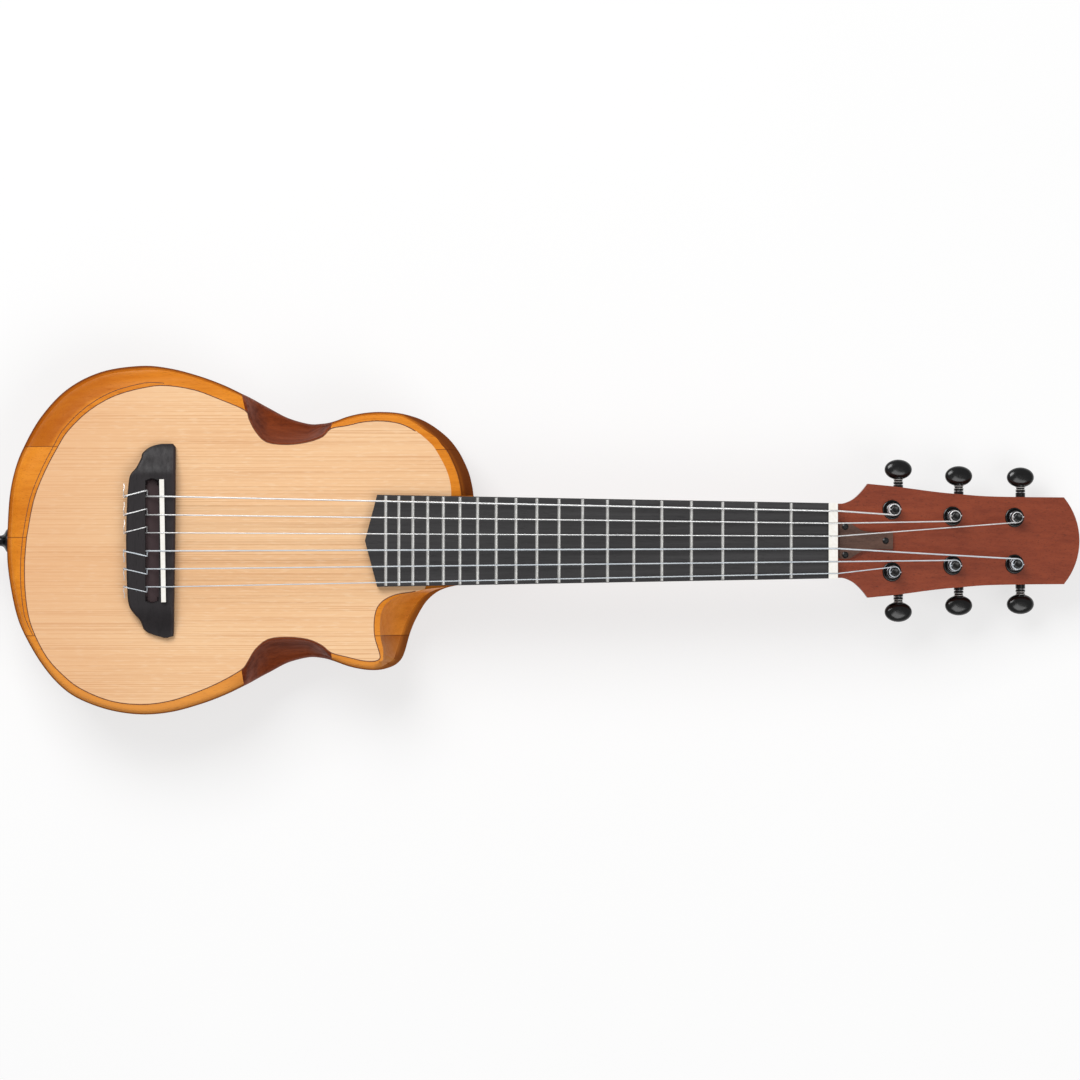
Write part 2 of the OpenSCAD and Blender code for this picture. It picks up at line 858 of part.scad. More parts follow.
// The thread is a right-handed helix with a blunt ridge, facing the gear's gap at y = 0
thread_steps = 16;
thread_root_width = 1.3;
thread_tip_width = 0.6;

function thread_ring(angle) =
    let (
        y = worm_pitch * angle / 360,
        out = [-cos(angle), 0, sin(angle)]
    )
        [
            thread_root * out + [0, y - thread_root_width / 2, 0],
            thread_tip * out + [0, y - thread_tip_width / 2, 0],
            thread_tip * out + [0, y + thread_tip_width / 2, 0],
            thread_root * out + [0, y + thread_root_width / 2, 0]
        ];

module worm(i) {
    turns = 1.4;
    color("#6b6b70")
        at_tuner(i)
            union() {
                translate([worm_x, 0, worm_z])
                    loft([for (k = [-turns * thread_steps : turns * thread_steps])
                        thread_ring(360 * k / thread_steps)]);
                along_worm(wall_inner + 0.2)
                    cylinder(h = wall_outer - wall_inner - 0.4, r = worm_core);
                along_worm(wall_inner - 2.1) cylinder(h = 2.8, r = journal_radius);
                along_worm(wall_outer - 0.6) cylinder(h = knob_start - wall_outer + 6.6, r = shaft_radius);
            }
}

module knob_slice(share, height) {
    linear_extrude(height, center = true)
        polygon([for (a = [0 : 15 : 345])
            [knob_length / 2 * share * cos(a), (knob_end - knob_start) / 2 * share * sin(a)]]);
}

module knob(i) {
    color(black_metal)
        at_tuner(i)
            difference() {
                union() {
                    translate([worm_x, (knob_start + knob_end) / 2, worm_z])
                        hull() {
                            knob_slice(1, knob_thickness * 0.4);
                            knob_slice(0.93, knob_thickness * 0.75);
                            knob_slice(0.78, knob_thickness);
                        }
                    along_worm(collar_start) cylinder(h = 1, r = 3.4);
                    along_worm(collar_start + 0.9) cylinder(h = 3.6, r = 3.1);
                }
                along_worm(collar_start - 1)
                    cylinder(h = knob_start - collar_start + 7.02, r = shaft_radius + 0.01);
            }
}

// ---- Strings ----

tube_sides = 6;
string_gap = 0.3;

// The helix on the post starts on its inner side and winds downward
function winding(i, steps) =
    let (
        side = i <= 3 ? 1 : -1,
        place = post_place[i - 1],
        radius = post_radius + string_gap + string_radius[i - 1],
        drop = 2 * string_radius[i - 1] + 0.12
    )
        [for (k = [0 : steps * winding_turns])
            let (turn = k / steps, a = 90 * side - 360 * side * turn)
                head_point([
                    place.x + radius * cos(a),
                    place.y + radius * sin(a),
                    string_hole_height - 0.6 - drop * turn
                ])];

function string_path(i) =
    let (
        r = string_radius[i - 1],
        tie_z = body_depth + tie_hole_height,
        over_saddle = body_depth + saddle_height + r + 0.02,
        coil = winding(i, 12),
        askew = -saddle_y[i - 1] * sin(saddle_skew) + 0.6
    )
        concat(
            [
                [tie_block_back - 1.6, saddle_y[i - 1], tie_z],
                [tie_block_front + 0.4, saddle_y[i - 1], tie_z],
                [askew - 1, saddle_y[i - 1], over_saddle - 0.1],
                [askew, saddle_y[i - 1], over_saddle],
                [askew + 1, saddle_y[i - 1], over_saddle],
                [nut_x, nut_y[i - 1], slot_floor + r + 0.1],
                [nut_x + 2, nut_y[i - 1], slot_floor + r + 0.1],
                [head_start, nut_y[i - 1], slot_floor + r - 0.3]
            ],
            coil
        );

module guitar_string(i) {
    color(i <= 3 ? "#e6dcc8" : "#d8d8d2")
        loft(tube_rings(string_path(i), string_radius[i - 1], tube_sides));
}

// ---- Nodes ----

rim_tail_bass();
rim_lower_bass();
waist_block_bass();
rim_upper_bass();
rim_neck_bass();
rim_tail_treble();
rim_lower_treble();
waist_block_treble();
rim_horn();
rim_cutaway();
back_plate();
soundboard();
purfling();
soundboard_braces();
back_braces();
bridge_plate();
neck_block();
tail_block();
bridge();
saddle();
strap_button();
strap_button_screw();
neck();
headstock();
fretboard();
frets();
nut();
truss_rod();
truss_rod_cover();
truss_cover_screws();
tuner_housings();
tuner_lids();
tuner_bushings();
tuner_screws();
for (i = STRINGS) {
    guitar_string(i);
    post(i);
    worm(i);
    knob(i);
}
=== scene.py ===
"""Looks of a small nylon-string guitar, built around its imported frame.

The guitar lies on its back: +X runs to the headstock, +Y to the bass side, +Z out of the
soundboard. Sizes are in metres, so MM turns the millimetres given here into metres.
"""

import json
import math

import bmesh
import bpy
from mathutils import Matrix, Vector


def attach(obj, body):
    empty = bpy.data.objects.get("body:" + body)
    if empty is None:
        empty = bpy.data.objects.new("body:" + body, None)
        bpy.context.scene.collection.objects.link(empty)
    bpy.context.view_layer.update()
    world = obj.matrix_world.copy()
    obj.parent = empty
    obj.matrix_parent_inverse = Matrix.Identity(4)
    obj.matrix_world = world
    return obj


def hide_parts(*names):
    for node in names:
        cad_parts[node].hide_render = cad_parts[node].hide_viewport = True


MM = 0.001
SOUNDBOARD_TOP = 70
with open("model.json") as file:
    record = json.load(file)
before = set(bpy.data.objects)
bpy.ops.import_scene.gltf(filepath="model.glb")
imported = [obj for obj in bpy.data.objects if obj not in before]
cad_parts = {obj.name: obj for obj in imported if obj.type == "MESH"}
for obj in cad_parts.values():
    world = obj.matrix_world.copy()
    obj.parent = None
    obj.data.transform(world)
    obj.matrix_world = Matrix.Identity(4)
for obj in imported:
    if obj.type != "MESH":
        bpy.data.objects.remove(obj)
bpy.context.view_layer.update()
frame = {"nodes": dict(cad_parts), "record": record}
nodes = frame["nodes"]
STRINGS = range(1, 7)


# ---- Shader nodes ----


def srgb(red, green, blue):
    """A colour given as 0 to 255 on screen, as linear values for a shader socket."""
    def linear(value):
        share = value / 255
        return share / 12.92 if share <= 0.04045 else ((share + 0.055) / 1.055) ** 2.4
    return (linear(red), linear(green), linear(blue), 1.0)


class Shader:
    """A material and short calls that add nodes to it."""

    def __init__(self, name, roughness, metallic=0.0, coat=0.0, coat_roughness=0.1, specular=0.5):
        self.material = bpy.data.materials.new(name)
        self.material.use_nodes = True
        self.tree = self.material.node_tree
        self.bsdf = self.tree.nodes["Principled BSDF"]
        self.bsdf.inputs["Roughness"].default_value = roughness
        self.bsdf.inputs["Metallic"].default_value = metallic
        self.bsdf.inputs["Coat Weight"].default_value = coat
        self.bsdf.inputs["Coat Roughness"].default_value = coat_roughness
        self.bsdf.inputs["Specular IOR Level"].default_value = specular

    def node(self, kind, **inputs):
        made = self.tree.nodes.new("ShaderNode" + kind)
        for name, value in inputs.items():
            self.put(made.inputs[name.replace("_", " ")], value)
        return made

    def put(self, socket, value):
        """Sets a socket to a plain value, or links another socket to it."""
        if isinstance(value, bpy.types.NodeSocket):
            self.tree.links.new(value, socket)
        else:
            socket.default_value = value

    def place(self, scale=(1, 1, 1)):
        """The piece's own coordinates, stretched by scale."""
        mapping = self.node("Mapping", Scale=scale)
        coordinates = self.node("TexCoord")
        self.put(mapping.inputs["Vector"], coordinates.outputs["Object"])
        return mapping.outputs["Vector"]

    def noise(self, scale, detail=3.0, rough=0.55, distort=0.0):
        made = self.node(
            "TexNoise", Vector=self.place(scale), Scale=1.0, Detail=detail,
            Roughness=rough, Distortion=distort,
        )
        return made.outputs["Fac"]

    def ramp(self, value, low, high):
        """0 below low, 1 above high."""
        made = self.node("MapRange")
        self.put(made.inputs["Value"], value)
        self.put(made.inputs["From Min"], low)
        self.put(made.inputs["From Max"], high)
        made.interpolation_type = "SMOOTHSTEP"
        return made.outputs["Result"]

    def fade(self, value, low, high):
        """1 below low, 0 above high."""
        return self.math("SUBTRACT", 1.0, self.ramp(value, low, high))

    def math(self, operation, a, b=0.0):
        made = self.node("Math")
        made.operation = operation
        self.put(made.inputs[0], a)
        self.put(made.inputs[1], b)
        return made.outputs[0]

    def times(self, *values):
        """The product of two or more values."""
        product = values[0]
        for value in values[1:]:
            product = self.math("MULTIPLY", product, value)
        return product

    def mix(self, share, a, b):
        """a where share is 0, b where share is 1."""
        made = self.node("Mix")
        made.data_type = "RGBA"
        colour_inputs = [s for s in made.inputs if s.type == "RGBA"]
        self.put(made.inputs["Factor"], share)
        self.put(colour_inputs[0], a)
        self.put(colour_inputs[1], b)
        return [s for s in made.outputs if s.type == "RGBA"][0]

    def axis(self, source, letter):
        made = self.node("SeparateXYZ", Vector=source)
        return made.outputs[letter]

    def colour(self, value):
        self.put(self.bsdf.inputs["Base Color"], value)

    def base_colour(self):
        """The socket that feeds the colour so far."""
        return self.bsdf.inputs["Base Color"].links[0].from_socket

    def rough(self, value, low, high):
        """Roughness that wanders between low and high with a texture value."""
        made = self.node("MapRange", Value=value, To_Min=low, To_Max=high)
        self.put(self.bsdf.inputs["Roughness"], made.outputs["Result"])

    def bump(self, height, strength, distance):
        made = self.node("Bump", Height=height, Strength=strength, Distance=distance)
        self.put(self.bsdf.inputs["Normal"], made.outputs["Normal"])


# ---- Materials ----


def wood(name, light, dark, pore, roughness, coat, figure=(5, 70, 70), streak=(14, 420, 420),
         pores=(160, 2600, 2600), pore_share=0.55, shine=0.25):
    """Planed wood with its grain along X: broad figure, fine streaks and short open pores."""
    s = Shader(name, roughness, coat=coat, coat_roughness=0.25, specular=shine)
    broad = s.ramp(s.noise(figure, detail=4, distort=0.6), 0.3, 0.7)
    fine = s.ramp(s.noise(streak, detail=4, rough=0.65), 0.35, 0.7)
    tone = s.math("ADD", s.times(broad, 0.55), s.times(fine, 0.45))
    speck = s.ramp(s.noise(pores, detail=2, rough=0.5), 0.58, 0.7)
    body = s.mix(tone, light, dark)
    s.colour(s.mix(s.times(speck, pore_share), body, pore))
    s.rough(fine, roughness * 0.85, roughness * 1.15)
    s.bump(s.math("SUBTRACT", s.times(fine, 0.3), speck), 0.25, 0.12 * MM)
    return s


def spruce():
    """Quarter-sawn spruce: close, broken brown year lines along X, browner to the tail."""
    s = Shader("soundboard_spruce", 0.5, specular=0.25)
    body = s.mix(s.ramp(s.noise((3, 22, 1), detail=3, rough=0.5), 0.3, 0.7),
                 srgb(246, 204, 158), srgb(240, 192, 144))
    line = s.ramp(s.noise((4, 1500, 1), detail=2, rough=0.45), 0.46, 0.64)
    weight = s.ramp(s.noise((6, 60, 1), detail=2), 0.3, 0.7)
    line_share = s.times(line, s.math("ADD", 0.3, s.times(weight, 0.35)))
    body = s.mix(line_share, body, srgb(204, 146, 98))
    streak = s.ramp(s.noise((8, 520, 1), detail=2, rough=0.6), 0.6, 0.74)
    body = s.mix(s.times(streak, 0.26), body, srgb(200, 140, 92))
    pale = s.ramp(s.noise((120, 900, 1), detail=2, rough=0.4), 0.5, 0.75)
    body = s.mix(s.times(pale, 0.3), body, srgb(252, 222, 186))
    tail = s.fade(s.axis(s.place(), "X"), -90 * MM, 30 * MM)
    s.colour(s.mix(s.times(tail, 0.45), body, srgb(222, 164, 116)))
    s.rough(line, 0.4, 0.5)
    s.bump(line, 0.12, 0.08 * MM)
    return s


# A glue line is (place across the guitar, where it starts along the guitar, where it ends).
GLUE_LINES = ((61.5, -110, 0), (59.5, 170, 210), (2.2, -110, 0), (-62, -110, 200))


def glue_line(s, body, along, across, line):
    """A thin dark line across the rim, between two places along the guitar."""
    place, start, end = line
    gap = s.math("ABSOLUTE", s.math("SUBTRACT", across, place * MM))
    dark = s.fade(gap, 0.12 * MM, 0.42 * MM)
    inside = s.times(s.ramp(along, start * MM, (start + 1) * MM),
                     s.fade(along, end * MM, (end + 1) * MM))
    return s.mix(s.times(dark, inside, 0.75), body, srgb(104, 50, 20))


def rim_wood(name, light, dark, pore, painted_side_shade):
    """Lacquered rim wood with the glue lines of its planks.

    It is browner on the horn and on the arm bevel and paler on the treble side. On the side
    material, painted shade turns faces that stand upright to the shade colour, less at the cutaway.
    """
    s = wood(name, light, dark, pore, 0.5, 0.0, figure=(7, 60, 60), streak=(16, 300, 300),
             pore_share=0.4, shine=0.0 if painted_side_shade else 0.12)
    body = s.base_colour()
    up = s.axis(s.node("NewGeometry").outputs["Normal"], "Z")
    place = s.place()
    along, across = s.axis(place, "X"), s.axis(place, "Y")
    horn = s.times(s.ramp(along, 137 * MM, 141 * MM), s.fade(across, -62.2 * MM, -61.8 * MM),
                   s.fade(up, 0.9, 0.98))
    body = s.mix(s.times(horn, 0.55), body, srgb(112, 48, 20))
    bevel = s.times(s.ramp(across, 61 * MM, 62 * MM), s.fade(along, -65 * MM, 5 * MM),
                    s.fade(up, 0.96, 0.995))
    body = s.mix(s.times(bevel, 0.6), body, srgb(160, 74, 4))
    pale = s.fade(across, -120 * MM, -30 * MM)
    body = s.mix(s.times(pale, 0.4), body, srgb(246, 178, 100))
    # Painted shade: faces that stand upright turn to the shade colour, a little less at the
    # cutaway.
    if painted_side_shade:
        cutaway = s.times(s.ramp(along, 132 * MM, 142 * MM), s.fade(across, -5 * MM, 5 * MM))
        share = s.math("SUBTRACT", 0.9, s.times(cutaway, 0.22))
        body = s.mix(s.ramp(up, 0.25, 0.75), s.mix(share, body, painted_side_shade), body)
    for line in GLUE_LINES:
        body = glue_line(s, body, along, across, line)
    s.colour(body)
    return s


def bridge_wood():
    """Near-black rosewood, grain across the guitar; channel floor and front edge are redder."""
    s = wood("bridge_rosewood", srgb(44, 40, 42), srgb(28, 25, 27), srgb(15, 12, 13), 0.45, 0.0,
             figure=(70, 6, 70), streak=(420, 14, 420), pores=(2600, 160, 2600), pore_share=0.6)
    place = s.place()
    along, height = s.axis(place, "X"), s.axis(place, "Z")
    across = s.math("ABSOLUTE", s.axis(place, "Y"))
    channel = s.times(
        s.fade(height, 74.2 * MM, 76 * MM), s.fade(across, 40.6 * MM, 41 * MM),
        s.ramp(along, -10.9 * MM, -10.7 * MM), s.fade(along, -2.1 * MM, -1.9 * MM),
    )
    front = s.times(s.ramp(along, 4 * MM, 9 * MM), 0.35)
    s.colour(s.mix(s.math("MAXIMUM", channel, front), s.base_colour(), srgb(64, 48, 50)))
    return s


def black_metal():
    """Black plating with a slight mottle."""
    s = Shader("black_metal", 0.22, coat=0.15, coat_roughness=0.08, specular=0.35)
    speck = s.noise((900, 900, 900), detail=2)
    s.colour(s.mix(s.ramp(speck, 0.3, 0.7), srgb(10, 10, 11), srgb(20, 20, 21)))
    s.rough(speck, 0.16, 0.3)
    s.bump(speck, 0.05, 0.05 * MM)
    return s


def plain(name, light, dark, roughness, metallic=0.0, coat=0.0, grain=(600, 600, 600)):
    """A moulded, cast or polished surface with slight tone and roughness changes."""
    s = Shader(name, roughness, metallic=metallic, coat=coat)
    speck = s.noise(grain, detail=3)
    s.colour(s.mix(s.ramp(speck, 0.3, 0.7), light, dark))
    s.rough(speck, roughness * 0.8, roughness * 1.2)
    s.bump(speck, 0.1, 0.03 * MM)
    return s


def nylon():
    """Clear plain nylon, a little cloudy along its length."""
    s = Shader("nylon_clear", 0.25)
    speck = s.noise((60, 900, 900), detail=2)
    s.colour(s.mix(s.ramp(speck, 0.3, 0.7), srgb(232, 238, 243), srgb(214, 222, 230)))
    s.bsdf.inputs["Transmission Weight"].default_value = 0.2
    s.bsdf.inputs["IOR"].default_value = 1.53
    s.rough(speck, 0.25 * 0.8, 0.25 * 1.2)
    return s


def wound_string():
    """A silver-plated winding: close rings across the string."""
    s = Shader("string_wound", 0.3, metallic=0.55)
    rings = s.node("TexWave", Vector=s.place(), Scale=1100.0, Distortion=0.0)
    rings.bands_direction = "X"
    s.colour(s.mix(rings.outputs["Fac"], srgb(214, 215, 216), srgb(250, 250, 250)))
    s.bump(rings.outputs["Fac"], 0.4, 0.05 * MM)
    return s


# A wood is (light, dark, pore, roughness, coat, other settings).
WOODS = {
    "waist_wood": ((138, 64, 30), (88, 34, 15), (44, 16, 7), 0.5, 0.0,
                   {"figure": (8, 60, 60), "streak": (12, 260, 260), "shine": 0.06}),
    "back_wood": ((140, 74, 40), (104, 50, 28), (52, 24, 14), 0.36, 0.4, {}),
    "brace_wood": ((232, 196, 150), (216, 172, 124), (190, 140, 96), 0.7, 0.0, {}),
    "block_wood": ((170, 110, 70), (140, 84, 50), (80, 44, 26), 0.7, 0.0, {}),
    "neck_wood": ((176, 98, 58), (146, 74, 42), (84, 38, 22), 0.4, 0.2, {}),
    "headstock_wood": ((146, 66, 38), (122, 50, 28), (62, 24, 14), 0.42, 0.06, {}),
    "fretboard_ebony": ((60, 59, 60), (44, 43, 44), (26, 24, 25), 0.55, 0.0, {"pore_share": 0.5}),
    "cover_rosewood": ((106, 78, 66), (76, 54, 46), (44, 30, 26), 0.5, 0.0, {}),
}

# A plain surface is (light, dark, roughness, other settings).
PLAINS = {
    "purfling_brown": ((118, 62, 24), (92, 46, 18), 0.5, {}),
    "white_bone": ((250, 248, 243), (243, 239, 230), 0.3, {"coat": 0.3}),
    "steel_parts": ((180, 180, 184), (150, 150, 154), 0.32, {"metallic": 1.0}),
    "fret_nickel": ((226, 225, 222), (206, 205, 202), 0.3,
                    {"metallic": 0.7, "grain": (900, 60, 900)}),
    "knob_black": ((9, 9, 10), (17, 17, 18), 0.2, {"coat": 0.1}),
}

MATERIALS = {
    "soundboard_spruce": spruce(),
    "rim_wood": rim_wood("rim_wood", srgb(230, 142, 40), srgb(206, 116, 20), srgb(134, 62, 10),
                         None),
    # The side material is a darker copy of the rim wood, with painted shade on upright faces.
    "rim_side_painted_shade": rim_wood("rim_side_painted_shade", srgb(206, 120, 36), srgb(176, 94, 22), srgb(104, 46, 10),
                         srgb(112, 58, 30)),
    "bridge_rosewood": bridge_wood(),
    "black_metal": black_metal(),
    "nylon_clear": nylon(),
    "string_wound": wound_string(),
}
for name, (light, dark, pore, roughness, coat, settings) in WOODS.items():
    MATERIALS[name] = wood(name, srgb(*light), srgb(*dark), srgb(*pore), roughness, coat,
                           **settings)
for name, (light, dark, roughness, settings) in PLAINS.items():
    MATERIALS[name] = plain(name, srgb(*light), srgb(*dark), roughness, **settings)


def dress(piece, slot):
    """Gives a piece the material of one of the record's slots."""
    piece.data.materials.clear()
    piece.data.materials.append(MATERIALS[slot].material)


def smooth(piece, angle=30):
    """Shades a mesh smooth, apart from edges sharper than the angle."""
    for polygon in piece.data.polygons:
        polygon.use_smooth = True
    piece.data.set_sharp_from_angle(angle=math.radians(angle))


# The neck block's end face lies beside the cutaway, so it takes the rim's side material, darker
# with painted shade on its upright faces.
for entry in frame["record"]["subparts"]:
    cad = nodes[entry["node"]]
    dress(cad, "rim_side_painted_shade" if entry["node"] == "neck_block" else entry["material_slot"])
    smooth(cad)


# ---- Shapes ----


def spline(points, steps):
    """A smooth open curve through given points."""
    points = [Vector(p) for p in points]
    last = len(points) - 1
    made = []
    for i in range(last):
        a, b = points[max(i - 1, 0)], points[i]
        c, d = points[i + 1], points[min(i + 2, last)]
        for k in range(steps):
            u = k / steps
            made.append(0.5 * (2 * b + (c - a) * u + (2 * a - 5 * b + 4 * c - d) * u * u
                               + (3 * b - a - 3 * c + d) * u ** 3))
    return made + [points[last]]


def build(name, vertices, faces, slot, stands_for=(), body="guitar", angle=35):
    """A piece from points in millimetres, dressed and riding a body.

    stands_for names the CAD nodes that the piece takes the place of.
    """
    mesh = bpy.data.meshes.new(name)
    mesh.from_pydata([Vector(v) * MM for v in vertices], [], faces)
    shape = bmesh.new()
    shape.from_mesh(mesh)
    bmesh.ops.recalc_face_normals(shape, faces=shape.faces)
    shape.to_mesh(mesh)
    shape.free()
    piece = bpy.data.objects.new(name, mesh)
    bpy.context.scene.collection.objects.link(piece)
    dress(piece, slot)
    smooth(piece, angle)
    if stands_for:
        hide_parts(*stands_for)
    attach(piece, body)
    return piece


def loft(rings, closed=False):
    """Vertices and faces of a skin over rings of equal size, capped unless it closes on itself."""
    n = len(rings[0])
    vertices = [v for ring in rings for v in ring]
    spans = len(rings) if closed else len(rings) - 1
    faces = []
    for r in range(spans):
        a, b = r * n, (r + 1) % len(rings) * n
        faces += [(a + k, a + (k + 1) % n, b + (k + 1) % n, b + k) for k in range(n)]
    if not closed:
        faces += [tuple(range(n)), tuple(range(len(vertices) - n, len(vertices)))]
    return vertices, faces


def circle(sides):
    """The angles of evenly spaced points round a circle."""
    return [2 * math.pi * k / sides for k in range(sides)]


def tube_rings(path, radius, sides=12):
    """Round sections along a path, square to it."""
    path = [Vector(p) for p in path]
    rings = []
    across = Vector((0, 0, 1)).cross(path[1] - path[0])
    for i, place in enumerate(path):
        along = (path[min(i + 1, len(path) - 1)] - path[max(i - 1, 0)]).normalized()
        across = (across - along * across.dot(along)).normalized()
        up = along.cross(across)
        rings.append([
            place + radius * (across * math.cos(a) + up * math.sin(a)) for a in circle(sides)
        ])
    return rings


def turned(profile, sides, at):
    """Rings of a turned part: the profile is (distance along, radius), and at places a point."""
    return [[at(r * math.cos(a), r * math.sin(a), z) for a in circle(sides)] for z, r in profile]


# ---- Body rim ----
# A rib is (outer point, edge of the flat top, shape). A shape is (wall inside the edge, flat
# ledge outside it, side band, height where the band starts, height where it ends, roundness).

TAIL = (10, 2.4, 2.5, 66, 62, 0.8)
ARM_BEVEL = (10, 2.8, 3, 61, 55, 0.6)
SMALL_ROUND = (9, 1, 2, 68, 64, 1)
WAIST_END = (9, 1, 2, 66, 61, 0.6)
SCOOP = (6, 0.8, 2.5, 46, 41, -0.5)
SHOULDER = (9, 5.5, 7.5, 68.6, 32, 1)
HORN_TIP = (1.5, 2, 4, 58, 44, -0.2)
CUT_SCOOP = (5, 3.5, 5, 38, 22, -0.8)


def between(a, b, share):
    return tuple(x + (y - x) * share for x, y in zip(a, b))


BASS_RIBS = [
    ((-102, 2.2), (-89, 2.2), TAIL),
    ((-100.5, 28), (-84.5, 26), TAIL),
    ((-97, 46), (-77.5, 44.5), TAIL),
    ((-91.5, 61.5), (-68.6, 61.5), ARM_BEVEL),
    ((-80, 81.5), (-61.6, 72.3), ARM_BEVEL),
    ((-63, 99.3), (-48, 85.3), ARM_BEVEL),
    ((-41, 110.5), (-31, 95), ARM_BEVEL),
    ((-15, 114.5), (-11, 100.4), ARM_BEVEL),
    ((5, 112.6), (3, 101.5), WAIST_END),
    ((24.5, 107.4), (21, 98.6), SMALL_ROUND),
    ((40, 101.6), (37, 92.7), SMALL_ROUND),
    ((51.3, 96.2), (53.8, 85.4), WAIST_END),
    ((56, 94), (56.6, 79.6), between(WAIST_END, SCOOP, 0.4)),
    ((61, 91.2), (60.6, 71.9), between(WAIST_END, SCOOP, 0.8)),
    ((68.6, 87), (67.8, 64.7), SCOOP),
    ((81, 80.6), (81, 63), SCOOP),
    ((94.3, 76.8), (94.3, 64.6), SCOOP),
    ((103, 76.7), (104.2, 68.1), between(WAIST_END, SCOOP, 0.6)),
    ((110.9, 77.8), (109.7, 73.4), SMALL_ROUND),
    ((121, 81.3), (120.4, 75.4), SMALL_ROUND),
    ((132, 83.6), (131, 77.8), SMALL_ROUND),
    ((144, 84.2), (143.4, 78.4), SMALL_ROUND),
    ((157, 82.9), (155.4, 76.5), SMALL_ROUND),
    ((171, 78.3), (165.4, 71.5), between(SMALL_ROUND, SHOULDER, 0.5)),
    ((184, 69.3), (173.8, 64.6), SHOULDER),
    ((192.3, 59.5), (178.1, 59.5), SHOULDER),
    ((198.6, 47), (184.9, 47), SHOULDER),
    ((201.4, 37), (187.8, 37), SHOULDER),
    ((202.5, 29.5), (188.3, 29.5), SHOULDER),
]

TREBLE_RIBS = [
    ((-102, 2.2), (-89, 2.2), TAIL),
    ((-101.8, -14), (-90.3, -14), TAIL),
    ((-99.4, -32), (-90, -32), TAIL),
    ((-95.6, -49), (-87.8, -49), TAIL),
    ((-90.2, -62), (-83.4, -62), SMALL_ROUND),
    ((-80.5, -78.8), (-75.5, -76.6), SMALL_ROUND),
    ((-69, -93), (-65.5, -87.6), SMALL_ROUND),
    ((-56, -102.8), (-53.8, -96.7), SMALL_ROUND),
    ((-36, -110.4), (-34.8, -104.6), SMALL_ROUND),
    ((-15, -113.5), (-14.7, -107.1), SMALL_ROUND),
    ((5, -112), (4.5, -104.9), SMALL_ROUND),
    ((24.5, -106.8), (22.5, -99), SMALL_ROUND),
    ((40, -101), (37.5, -92.5), SMALL_ROUND),
    ((53, -94.8), (51.5, -84.5), WAIST_END),
    ((57, -92.7), (55.6, -79.4), between(WAIST_END, SCOOP, 0.4)),
    ((62, -89.9), (60.6, -71.2), between(WAIST_END, SCOOP, 0.8)),
    ((69, -86.2), (68.8, -64.6), SCOOP),
    ((81, -80), (81, -63.2), SCOOP),
    ((94.3, -76.6), (94.3, -64.5), SCOOP),
    ((103, -76.8), (103.6, -68.4), between(WAIST_END, SCOOP, 0.6)),
    ((110.5, -78.3), (110, -73.4), SMALL_ROUND),
    ((121, -82), (120.4, -76.2), SMALL_ROUND),
    ((130, -84), (129.5, -78.4), SMALL_ROUND),
    ((137.5, -84.6), (136, -79), SMALL_ROUND),
    ((144, -84), (140, -78.4), (3, 1, 2, 67, 60, 0.6)),
    ((150.4, -81.9), (142, -76.8), HORN_TIP),
    ((154.4, -78.6), (142, -74), HORN_TIP),
    ((157.1, -73), (141, -70.5), (3, 3, 5, 48, 32, -0.6)),
    ((160.2, -62), (138.6, -62), CUT_SCOOP),
    ((163.4, -53.7), (138.4, -51.7), CUT_SCOOP),
    ((168.2, -44.6), (140.4, -43.6), CUT_SCOOP),
    ((172.6, -38.6), (145.4, -38.4), CUT_SCOOP),
    ((178.4, -33.8), (153, -35.2), CUT_SCOOP),
    ((184.5, -31), (163, -33.6), (4, 2.5, 5, 46, 30, -0.6)),
    ((190, -29.6), (171, -31.6), (3, 2, 5, 52, 40, -0.3)),
]


# Steps between two ribs, and the side of a ring's outline where the side material, a darker copy
# with painted shade, starts.
RIB_STEPS = 7
SHADED_SIDE_START = 14
BACK_THICKNESS = 3
TOP_THICKNESS = 3
LEDGE_HEIGHT = SOUNDBOARD_TOP - 0.25
BEVEL_STEPS = 10
SKIN_INSET = 0.08
# The side band's curve: (share of its width, share of its drop).
BAND_STEPS = ((0.2, 0.06), (0.45, 0.2), (0.7, 0.45), (0.9, 0.72), (1, 1))


def fine_ribs(ribs):
    """The ribs of one side with the steps between them filled in."""
    outer = spline([(*r[0], 0) for r in ribs], RIB_STEPS)
    edge = spline([(*r[1], 0) for r in ribs], RIB_STEPS)
    made = []
    for i, (a, b) in enumerate(zip(outer, edge)):
        rib = min(i // RIB_STEPS, len(ribs) - 2)
        made.append((a, b, between(ribs[rib][2], ribs[rib + 1][2], i / RIB_STEPS - rib)))
    return made


def rib_ring(rib):
    """The closed outline of one rib: ledge, bevel or scoop, side band, side and foot."""
    outer, edge, (wall, ledge_width, side, crease_height, side_height, roundness) = rib
    out = (outer - edge).normalized()
    outer = outer - SKIN_INSET * out
    inner = edge - wall * out
    ledge = edge + ledge_width * out
    crease = outer - side * out
    share = (1 + roundness) / 2
    foot = outer - 3 * out
    under_top = SOUNDBOARD_TOP - TOP_THICKNESS
    ring = [
        (*inner.xy, BACK_THICKNESS), (*inner.xy, under_top), (*edge.xy, under_top),
        (*edge.xy, SOUNDBOARD_TOP), (*ledge.xy, LEDGE_HEIGHT),
    ]
    for k in range(1, BEVEL_STEPS + 1):
        turn = math.radians(90 / BEVEL_STEPS * k)
        over, under = math.sin(turn), 1 - math.cos(turn)
        place = ledge.lerp(crease, under + (over - under) * share)
        drop = over + (under - over) * share
        ring.append((*place.xy, LEDGE_HEIGHT + (crease_height - LEDGE_HEIGHT) * drop))
    for reach, drop in BAND_STEPS:
        place = crease.lerp(outer, reach)
        ring.append((*place.xy, crease_height + (side_height - crease_height) * drop))
    middle = (outer - 0.05 * out).xy
    ring += [(*middle, (side_height + 8) / 2), (*middle, 8), (*(outer - 1.2 * out).xy, 4.4)]
    ring.append((*foot.xy, 2.6))
    return ring


